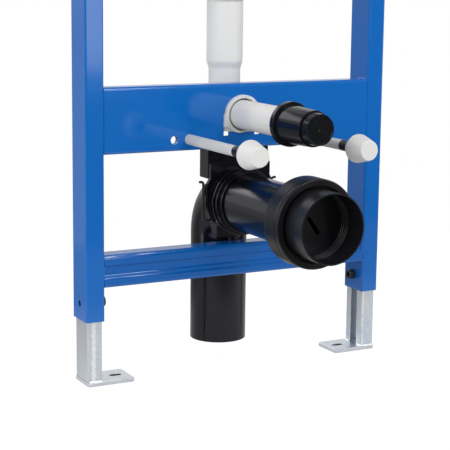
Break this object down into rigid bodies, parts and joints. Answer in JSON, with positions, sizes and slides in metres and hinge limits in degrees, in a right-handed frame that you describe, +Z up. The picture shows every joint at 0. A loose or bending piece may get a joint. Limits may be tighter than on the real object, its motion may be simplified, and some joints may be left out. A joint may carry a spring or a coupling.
{
  "type": "wall hung toilet frame",
  "caption": "Steel in-wall frame with concealed cistern, flush pipe, waste bend and two studs that carry a wall hung toilet bowl, on two adjustable legs.",
  "frame": {"origin": "middle of the wall face of the left wall plate", "axes": "+X to the right seen from the front, +Y back to the wall, +Z up"},
  "size_m": [0.52, 0.424, 1.12],
  "materials": {
    "blue_coat": "blue powder coat, satin",
    "galvanised": "galvanised, faint spangle",
    "black_steel": "black oxide",
    "grey_tube": "grey PVC tube",
    "black_rubber": "moulded EPDM",
    "white_plastic": "moulded white plastic",
    "black_plastic": "moulded HDPE, glossy",
    "tank_plastic": "blow-moulded, matt",
    "shaft_plastic": "moulded, matt",
    "plated_brass": "nickel-plated brass"
  },
  "bodies": {
    "frame": {"access_cover": "shaft_plastic", "access_shaft": "shaft_plastic", "bend_clamp": "black_plastic", "bend_clip_left": "black_steel", "bend_clip_right": "black_steel", "bend_holder": "black_plastic", "bowl_cap_left": "white_plastic", "bowl_cap_right": "white_plastic", "cistern": "tank_plastic", "clamp_nut_left": "galvanised", "clamp_nut_right": "galvanised", "clamp_screw_left": "black_steel", "clamp_screw_right": "black_steel", "crossbar": "blue_coat", "flush_bend": "white_plastic", "flush_cap": "black_plastic", "flush_holder": "white_plastic", "flush_pipe": "white_plastic", "flush_spigot": "white_plastic", "flush_union_nut": "white_plastic", "lower_rail": "blue_coat", "post_left": "blue_coat", "post_right": "blue_coat", "protective_cup": "black_plastic", "sealing_collar": "black_rubber", "stud_bushing_left": "black_rubber", "stud_bushing_right": "black_rubber", "stud_left": "galvanised", "stud_right": "galvanised", "stud_sleeve_left": "grey_tube", "stud_sleeve_right": "grey_tube", "tank_bracket_left": "galvanised", "tank_bracket_right": "galvanised", "top_rail": "blue_coat", "wall_bolt_left": "galvanised", "wall_bolt_right": "galvanised", "wall_plate_left": "galvanised", "wall_plate_right": "galvanised", "waste_bend": "black_plastic", "water_inlet": "plated_brass"},
    "left_leg": {"leg_left": "galvanised", "foot_plate_left": "galvanised"},
    "right_leg": {"leg_right": "galvanised", "foot_plate_right": "galvanised"}
  },
  "joints": [
    {"name": "left_leg_slide", "type": "slide", "parent": "frame", "child": "left_leg", "axis": [0, 0, -1], "range_m": [-0.088, 0.1]},
    {"name": "right_leg_slide", "type": "slide", "parent": "frame", "child": "right_leg", "axis": [0, 0, -1], "range_m": [-0.088, 0.1]}
  ]
}
